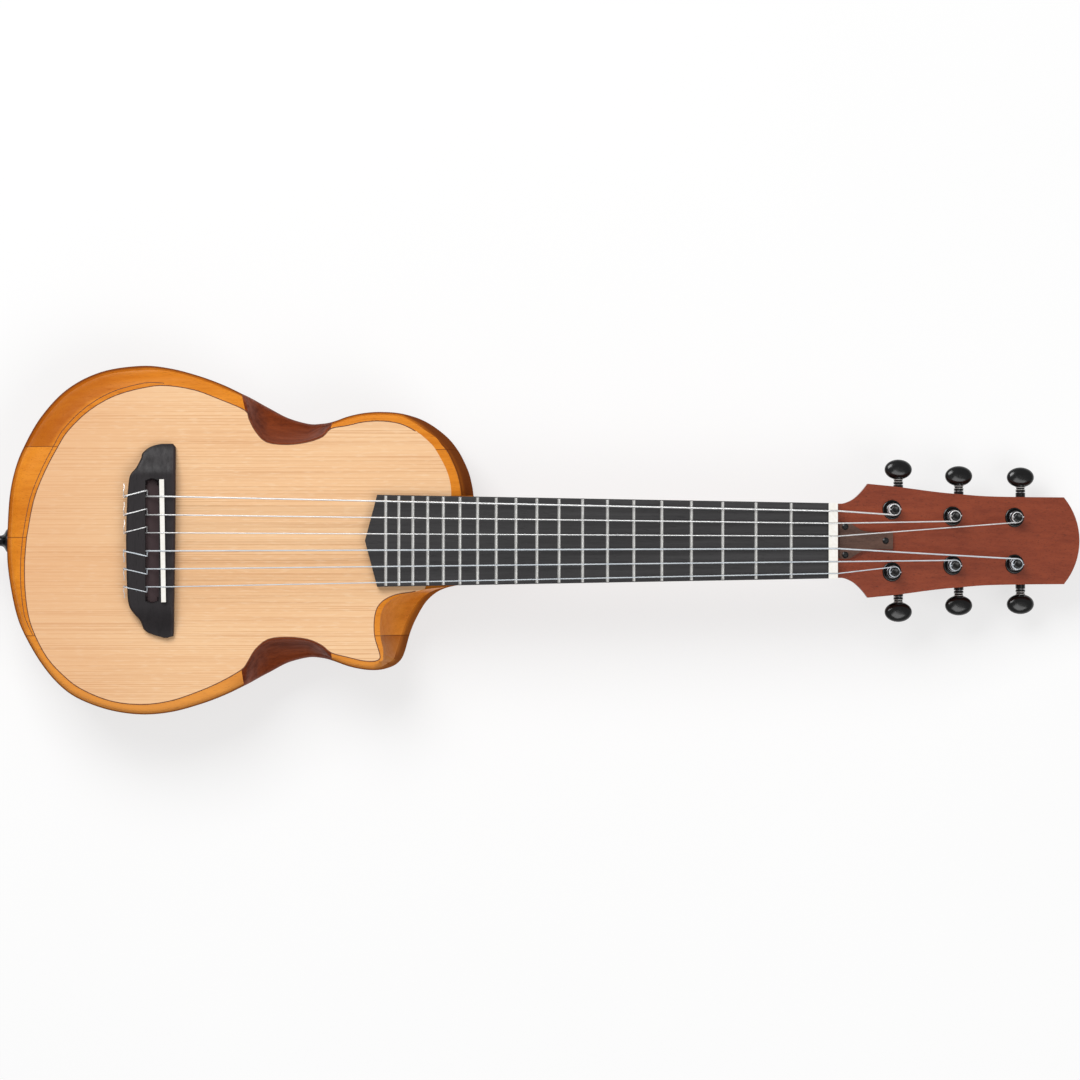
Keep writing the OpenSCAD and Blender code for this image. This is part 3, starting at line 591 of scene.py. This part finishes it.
def make_rim(ribs, joins, names):
    """The rim pieces of one side, cut at the joining ribs; gives back the fine ribs."""
    fine = fine_ribs(ribs)
    for piece, name in enumerate(names):
        first, last = joins[piece] * RIB_STEPS, joins[piece + 1] * RIB_STEPS
        slot = "waist_wood" if name.startswith("waist") else "rim_wood"
        rings = [rib_ring(rib) for rib in fine[first:last + 1]]
        vertices, faces = loft(rings)
        skin = build(name + "_skin", vertices, faces, slot, [name])
        # The side band's faces take the side material, a darker copy with painted shade on upright
        # faces.
        if slot == "rim_wood":
            skin.data.materials.append(MATERIALS["rim_side_painted_shade"].material)
            n = len(rings[0])
            for polygon in skin.data.polygons:
                on_skin = polygon.index < n * (len(rings) - 1)
                polygon.material_index = int(on_skin and polygon.index % n >= SHADED_SIDE_START)
    return fine


def make_inlay(name, path, half, top):
    """A thin dark line let into the rim along a path, half its width to each side."""
    rings = []
    for i, place in enumerate(path):
        along = path[min(i + 1, len(path) - 1)] - path[max(i - 1, 0)]
        across = Vector((-along.y, along.x, 0)).normalized() * half
        rings.append([place + across + Vector((0, 0, z)) for z in (top - 1, top)]
                     + [place - across + Vector((0, 0, z)) for z in (top, top - 1)])
    vertices, faces = loft(rings)
    build(name, vertices, faces, "purfling_brown")


def ledge_point(rib):
    """The outer edge of a rib's ledge, a little inside."""
    outer, edge, shape = rib
    return edge + (outer - edge).normalized() * (shape[1] - 0.1)


bass = make_rim(BASS_RIBS, (0, 3, 11, 18, 25, 28), (
    "rim_tail_bass", "rim_lower_bass", "waist_block_bass", "rim_upper_bass", "rim_neck_bass"))
treble = make_rim(TREBLE_RIBS, (0, 4, 13, 20, 28, 34), (
    "rim_tail_treble", "rim_lower_treble", "waist_block_treble", "rim_horn", "rim_cutaway"))
lower_bout = [*reversed(treble[:4 * RIB_STEPS + 1]), *bass[1:8 * RIB_STEPS]]
make_inlay("lower_bout_line", [ledge_point(rib) for rib in lower_bout], 0.22, LEDGE_HEIGHT + 0.06)


# ---- Strap button ----


def make_strap_button():
    """A turned button on the tail, its flange against the rim."""
    profile = [
        (0.05, 7.2), (0.3, 7.6), (0.9, 7.7), (1.6, 7.6), (2.3, 6.9), (3, 5.6), (3.8, 4.3), (5, 3.6),
        (7.5, 3.4), (9, 3.7), (10, 4.5), (10.9, 5.9), (11.6, 6.8), (12.4, 7), (13.2, 6.6),
        (13.8, 5.6), (14, 4.2),
    ]
    vertices, faces = loft(turned(profile, 48, lambda x, y, z: (-102.2 - z, y, 35 + x)))
    build("strap_button_turned", vertices, faces, "black_metal", ["strap_button"], angle=50)


make_strap_button()


# ---- Headstock frame ----

TILT = math.radians(12)
HEAD_START = 440.2
HEAD_THICKNESS = 13.5
HEAD_TURN = Matrix.Rotation(TILT, 3, "Y")
POSTS = {
    1: (36.6, -20.3), 2: (77.6, -16.1), 3: (119.6, -15.3),
    4: (119.6, 15.3), 5: (77.6, 16.1), 6: (36.6, 20.3),
}


def on_head(x, y, z):
    """A point of the headstock's face frame, in the guitar's frame."""
    return Vector((HEAD_START, 0, SOUNDBOARD_TOP)) + HEAD_TURN @ Vector((x, y, z))


# ---- Strings ----

STRING_RADIUS = {1: 0.36, 2: 0.42, 3: 0.5, 4: 0.38, 5: 0.45, 6: 0.55}
SADDLE_Y = {1: -30, 2: -18.3, 3: -6.6, 4: 5.2, 5: 16.9, 6: 28.9}
NUT_Y = {1: -21.3, 2: -13.6, 3: -5.1, 4: 3, 5: 11.4, 6: 19.4}
POST_RADIUS = 2.6
NUT_FRONT = 434.2
HOLE_HEIGHT = 8.6
SLOT_FLOOR = 77.6
SADDLE_CREST = 82.42
SADDLE_SKEW = math.radians(0.9)
TIE_BLOCK_TOP = 79.5
COIL_STEPS = 24
COIL_TURNS = 2.5


def string_slot(i):
    """Strings 1 to 3 are plain nylon, 4 to 6 are wound."""
    return "nylon_clear" if i <= 3 else "string_wound"


def post_side(i):
    """1 for the posts of the treble side, -1 for those of the bass side."""
    return 1 if i <= 3 else -1


def make_tube(name, path, radius, sides, i, **more):
    """A length of string i along a path."""
    vertices, faces = loft(tube_rings(path, radius, sides))
    build(name, vertices, faces, string_slot(i), **more)


def make_string(i):
    """A string from the bridge to its coil, with its tie and loose tail behind the bridge."""
    r = STRING_RADIUS[i]
    y, side = SADDLE_Y[i], post_side(i)
    askew = -y * math.sin(SADDLE_SKEW) + 0.6
    over = SADDLE_CREST + r
    hook = 4 if i >= 4 else -3.5
    px, py = POSTS[i]
    gap = POST_RADIUS + 0.3 + r
    coil = []
    for k in range(int(COIL_STEPS * COIL_TURNS) + 1):
        turn = k / COIL_STEPS
        a = math.radians(90 * side - 360 * side * turn)
        coil.append(on_head(px + gap * math.cos(a), py + gap * math.sin(a),
                            HOLE_HEIGHT - 0.6 - (2 * r + 0.12) * turn))
    nut_floor = SLOT_FLOOR + r
    path = [
        (-24.2, y, 75.5), (-17, y, 75.5), (-10.6, y, 75.7), (askew - 4, y, over - 1.6),
        (askew - 1, y, over - 0.1), (askew, y, over), (askew + 1, y, over),
        (NUT_FRONT, NUT_Y[i], nut_floor + 0.1), (NUT_FRONT + 2, NUT_Y[i], nut_floor + 0.1),
        (HEAD_START, NUT_Y[i], nut_floor - 0.3), *coil,
    ]
    make_tube("string_%d_line" % i, path, r, 12, i, stands_for=["string_%d" % i])
    top = TIE_BLOCK_TOP + r
    loop = spline([
        (-23.6, y - hook * 0.05, 75.5), (-24.3 - r, y, 77.4), (-23.9, y + hook * 0.08, 79.3),
        (-22.6, y + hook * 0.16, top), (-17, y + hook * 0.5, top), (-11.6, y + hook * 0.86, top),
        (-10.4 + r, y + hook * 0.96, 78.8), (-10.3 + r, y + hook * 0.9, 76.8),
        (-10.3 + r, y + hook * 0.5, 75.4), (-10.3 + r, y + hook * 0.1, 74.9),
    ], 6)
    tail = spline([
        (-24.2 - r, y + hook * 0.35, 75.2), (-24.9 - r, y + hook * 0.1, 76.4),
        (-24.2 - r, y - hook * 0.2, 77.6), (-23.7 - r, y - hook * 0.1, 76.6),
        (-24.3 - r, y + hook * 0.3, 77.2), (-24.6 - r, y + hook * 0.8, 78),
        (-24.1 - r, y + hook * 1.4, 77.4), (-24.3 - r, y + hook * 2.1, 76.6),
    ], 5)
    make_tube("string_%d_tail" % i, tail, r * 0.55, 8, i)
    make_tube("string_%d_tie" % i, loop, r * 0.92, 12, i)


def make_string_stub(i):
    """The string's end through the hole of its post; it turns with the post."""
    px, py = POSTS[i]
    reach = POST_RADIUS + 1.5
    path = [on_head(px + k * reach, py - post_side(i) * 0.35 * k * k, HOLE_HEIGHT + 0.25 * k * k)
            for k in (-1, -0.7, -0.35, 0, 0.35, 0.7, 1)]
    make_tube("string_%d_stub" % i, path, min(STRING_RADIUS[i], 0.5), 10, i,
              body="post_body_%d" % i)


for i in STRINGS:
    make_string(i)
    make_string_stub(i)


# ---- Bridge ----

BRIDGE_BACK = [
    (6.7, 63.4), (-0.8, 63.2), (-7.8, 61.3), (-12.8, 57.3), (-13.8, 53.8), (-16.8, 47.8),
    (-20.6, 43), (-21.8, 37), (-22.8, 24), (-23.4, 0), (-22.8, -29), (-21.5, -42),
    (-17.8, -48), (-14.3, -52), (-11.8, -58), (-6.8, -61), (2.2, -63.6),
]
BRIDGE_FRONT = [
    (6.7, 63.4), (8.2, 61.6), (8.7, 59.8), (8.7, 40), (8.4, 0), (7.8, -40), (7.4, -60),
    (6, -62.4), (2.2, -63.6),
]


BRIDGE_CROWN = 9.5
WING_DROP = 5.6
CHANNEL_BACK = -10.8
CHANNEL_FRONT = -2
CHANNEL_FLOOR = 4.05
CHANNEL_HALF = 36
CHANNEL_MIDDLE = -6.4
CHANNEL_ROUND = 4.4


def smooth_step(low, high, value):
    """0 below low, 1 above high."""
    share = min(max((value - low) / (high - low), 0), 1)
    return share * share * (3 - 2 * share)


def outline_at(points, y):
    """X of an outline that runs from +Y to -Y, at a place across."""
    for a, b in zip(points, points[1:]):
        if b.y <= y <= a.y:
            share = 0 if a.y == b.y else (a.y - y) / (a.y - b.y)
            return a.x + (b.x - a.x) * share
    return points[-1].x


def bridge_height(x, y, back, front):
    """Height over the soundboard: tie block, channel, saddle bar and sloping wings."""
    reach = abs(y)
    end = CHANNEL_HALF + math.sqrt(max(0, CHANNEL_ROUND ** 2 - (x - CHANNEL_MIDDLE) ** 2))
    if CHANNEL_BACK + 0.01 < x < CHANNEL_FRONT - 0.01 and reach < end:
        return CHANNEL_FLOOR
    lip = max(0, 1 - min(x - back, front - x) / 1.1)
    return BRIDGE_CROWN - WING_DROP * smooth_step(43, 62.5, reach) - lip * lip


def make_bridge():
    """The bridge as slices across it, each with more points at its edges and its channel."""
    back_line = spline([(*p, 0) for p in BRIDGE_BACK], 8)
    front_line = spline([(*p, 0) for p in BRIDGE_FRONT], 8)
    foot = SOUNDBOARD_TOP + 0.02
    rings = []
    for k in range(231):
        y = 63.2 - 0.55 * k
        back, front = outline_at(back_line, y), outline_at(front_line, y)
        marks = [
            back, back + 0.12, back + 0.4, back + 0.9, back + 1.8, -14, -12, CHANNEL_BACK,
            CHANNEL_BACK + 0.02, -9.5, -8, CHANNEL_MIDDLE, -4.8, -3.4, CHANNEL_FRONT - 0.02,
            CHANNEL_FRONT, -1, 1, 4, front - 1.8, front - 0.9, front - 0.4, front - 0.12, front,
        ]
        marks = [min(max(m, back), front) for m in marks]
        marks = [max(marks[:n + 1]) for n in range(len(marks))]
        top = [(m, y, SOUNDBOARD_TOP + bridge_height(m, y, back, front)) for m in marks]
        rings.append([(back, y, foot)] + top + [(front, y, foot)])
    vertices, faces = loft(rings)
    build("bridge_body", vertices, faces, "bridge_rosewood", ["bridge"], angle=40)


make_bridge()


# ---- Tuners ----

# The knob's middle in its tuner's frame, and half its size along, outward and up.
KNOB_MIDDLE = (9.4, 26.4, -5.7)
KNOB_HALF = (9.2, 6.6, 3.5)
NUT_APOTHEM = 4.35


def at_tuner(i, x, y, z):
    """A point of one tuner's frame: X to the tip, Y outward, Z out of the face, from its back."""
    px, py = POSTS[i]
    return on_head(px + x, py - post_side(i) * y, z - HEAD_THICKNESS)


def shaft_turned(i, name, profile, slot):
    """A turned part about the knob's shaft: the profile is (distance outward, radius)."""
    def at(x, y, z):
        return at_tuner(i, KNOB_MIDDLE[0] + x, z, KNOB_MIDDLE[2] + y)
    vertices, faces = loft(turned(profile, 32, at))
    build(name, vertices, faces, slot, body="knob_body_%d" % i)


def make_knob(i):
    """The oval button with its sleeve and two thin rings."""
    along, out, up = KNOB_MIDDLE
    half_along, half_out, half_up = KNOB_HALF
    rings = []
    for k in range(1, 24):
        lat = math.radians(-90 + 7.5 * k)
        share = math.cos(lat) ** 0.72
        rings.append([
            at_tuner(i, along + half_along * share * math.cos(a),
                     out + half_out * share * math.sin(a), up + half_up * math.sin(lat))
            for a in circle(48)
        ])
    vertices, faces = loft(rings)
    build("knob_%d_button" % i, vertices, faces, "knob_black", ["knob_%d" % i],
          body="knob_body_%d" % i, angle=60)
    shaft_turned(i, "knob_%d_sleeve" % i, [
        (16.7, 2.7), (16.75, 3.0), (16.9, 3.15), (18.2, 3.15), (18.3, 2.85), (18.9, 2.75),
        (19.6, 2.9), (20.6, 3.3), (21.5, 3.3),
    ], "black_metal")
    for k, y in enumerate((18.1, 19.55)):
        shaft_turned(i, "knob_%d_ring_%d" % (i, k + 1), [
            (y, 2.7), (y + 0.03, 3.2), (y + 0.14, 3.3), (y + 0.36, 3.3), (y + 0.47, 3.2),
            (y + 0.5, 2.7),
        ], "fret_nickel")


def hexagon_reach(angle):
    """Distance from the middle of the post's nut to its side in a direction."""
    part = math.pi / 3
    return NUT_APOTHEM / math.cos((angle + part / 2) % part - part / 2)


def face_turned(i, name, profile, slot, body="guitar", hexagon=False, hollow=False, stands_for=()):
    """A turned part about the post: the profile is (height over the face, radius)."""
    rings = []
    for z, r in profile:
        ring = []
        for a in circle(48):
            width = min(r, hexagon_reach(a)) if hexagon else r
            ring.append(at_tuner(i, width * math.cos(a), width * math.sin(a), z + HEAD_THICKNESS))
        rings.append(ring)
    vertices, faces = loft(rings, closed=hollow)
    build(name, vertices, faces, slot, stands_for, body, angle=32)


def make_post_trim(i):
    """The washer, the nut with a bright steel ring on top as its painted highlight, and the cap
    that turns with the post.
    """
    face_turned(i, "washer_%d" % i, [
        (0.02, 6.1), (0.1, 6.3), (0.4, 6.38), (0.8, 6.25), (1.05, 5.9), (1.1, 5.5), (0.9, 5.1),
        (0.7, 4.9),
    ], "black_metal", stands_for=["tuner_bushings"] if i == 1 else ())
    face_turned(i, "nut_%d" % i, [
        (0.6, 4.9), (2.6, 4.9), (3.0, 4.65), (3.25, 4.3),
    ], "black_metal", hexagon=True)
    # Painted highlight: a bright steel ring on the nut's top edge stands for the glint of the nut.
    face_turned(i, "nut_%d_lip" % i, [
        (3.2, 4.1), (3.32, 4.05), (3.4, 3.85), (3.34, 3.6), (3.2, 3.5), (3.1, 3.8),
    ], "steel_parts", hollow=True)
    face_turned(i, "post_%d_cap" % i, [
        (10.3, 2.6), (10.42, 2.64), (10.62, 2.6), (10.8, 2.35), (10.86, 1.9), (10.7, 1.5),
        (10.62, 0.9), (10.6, 0.3),
    ], "black_metal", body="post_body_%d" % i)


for i in STRINGS:
    make_knob(i)
    make_post_trim(i)


# ---- Floor, light and camera ----

FLOOR_RADIUS = 8.0
FLOOR_DROP = 0.0005
BODY_MIDDLE = (0.25, 0, 0.05)


def make_floor():
    """A pale, softly lit table, far wider than the view."""
    mesh = bpy.data.meshes.new("floor")
    shape = bmesh.new()
    bmesh.ops.create_circle(shape, cap_ends=True, radius=FLOOR_RADIUS, segments=96)
    shape.to_mesh(mesh)
    shape.free()
    floor = bpy.data.objects.new("floor", mesh)
    bpy.context.scene.collection.objects.link(floor)
    floor.location.z = -FLOOR_DROP
    s = Shader("floor_lightbox", 0.9)
    s.colour(s.mix(s.noise((3, 3, 3)), (0.3, 0.3, 0.3, 1), (0.32, 0.32, 0.32, 1)))
    s.bsdf.inputs["Emission Color"].default_value = (1, 1, 1, 1)
    s.bsdf.inputs["Emission Strength"].default_value = 0.66
    mesh.materials.append(s.material)


def make_light(name, place, power):
    """A large soft lamp aimed at the guitar."""
    lamp = bpy.data.lights.new(name, "AREA")
    lamp.size = 1.8
    lamp.energy = power
    lamp_object = bpy.data.objects.new(name, lamp)
    bpy.context.scene.collection.objects.link(lamp_object)
    lamp_object.location = place
    aim = Vector(BODY_MIDDLE) - Vector(place)
    lamp_object.rotation_euler = aim.to_track_quat("-Z", "Y").to_euler()


def make_world():
    """Even white light from all round."""
    world = bpy.data.worlds.new("studio")
    world.use_nodes = True
    background = world.node_tree.nodes["Background"]
    background.inputs["Color"].default_value = (1, 1, 1, 1)
    background.inputs["Strength"].default_value = 0.3
    bpy.context.scene.world = world


VIEW_CENTRE = (246.2 * MM, 0.5 * MM)
VIEW_WIDTH = 704.5 * MM
VIEW_DISTANCE = 5.0


def make_camera():
    """Straight down on the soundboard, from far away."""
    data = bpy.data.cameras.new("camera")
    data.sensor_width = 36.0
    data.lens = data.sensor_width * VIEW_DISTANCE / VIEW_WIDTH
    data.clip_end = 50
    camera = bpy.data.objects.new("camera", data)
    bpy.context.scene.collection.objects.link(camera)
    camera.location = (*VIEW_CENTRE, SOUNDBOARD_TOP * MM + VIEW_DISTANCE)
    bpy.context.scene.camera = camera


make_floor()
make_light("key", (-0.7, 1.7, 2.6), 72)
make_light("fill", (1.4, -1.1, 2.6), 27)
make_world()
make_camera()
bpy.context.scene.view_settings.view_transform = "Standard"
